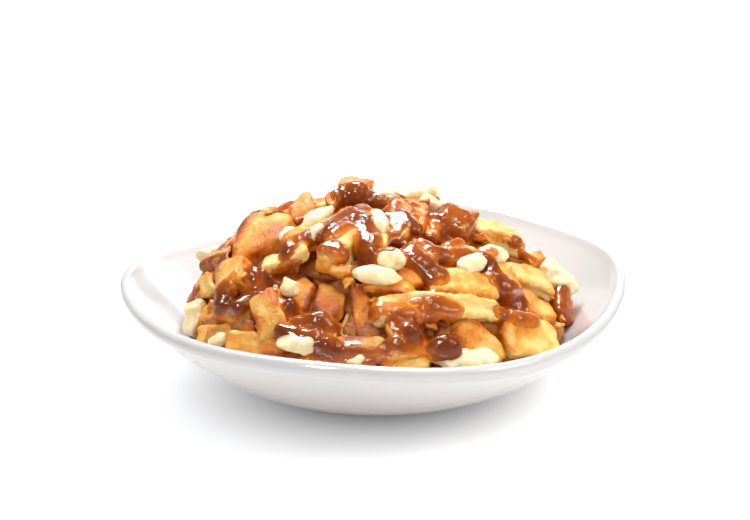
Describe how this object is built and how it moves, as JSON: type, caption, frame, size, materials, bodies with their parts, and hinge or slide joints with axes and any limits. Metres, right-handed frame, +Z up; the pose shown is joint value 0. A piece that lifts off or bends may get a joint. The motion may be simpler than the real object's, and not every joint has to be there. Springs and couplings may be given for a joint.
{
  "type": "bowl of poutine",
  "caption": "Shallow round white bowl heaped with fried potato sticks under brown gravy and cheese curds, ready to eat.",
  "frame": {"origin": "middle of the bowl's flat foot, on the surface that it stands on", "axes": "+Z up, -Y towards the side of the heap that the picture shows, +X to the right as seen from there"},
  "size_m": [0.2344, 0.2384, 0.0976],
  "materials": {
    "porcelain": "gloss",
    "chips_and_gravy": "satin",
    "curd": "satin"
  },
  "bodies": {
    "root": {"bowl": "porcelain", "heap": "chips_and_gravy", "curd_01": "curd", "curd_02": "curd", "curd_03": "curd", "curd_04": "curd", "curd_05": "curd", "curd_06": "curd", "curd_07": "curd", "curd_08": "curd", "curd_09": "curd", "curd_10": "curd", "curd_11": "curd", "curd_12": "curd", "curd_13": "curd", "curd_14": "curd", "curd_15": "curd", "curd_16": "curd", "curd_17": "curd", "curd_18": "curd", "curd_19": "curd", "curd_20": "curd", "curd_21": "curd", "curd_22": "curd", "curd_23": "curd", "curd_24": "curd", "curd_25": "curd", "curd_26": "curd", "curd_27": "curd", "curd_28": "curd"}
  },
  "joints": []
}
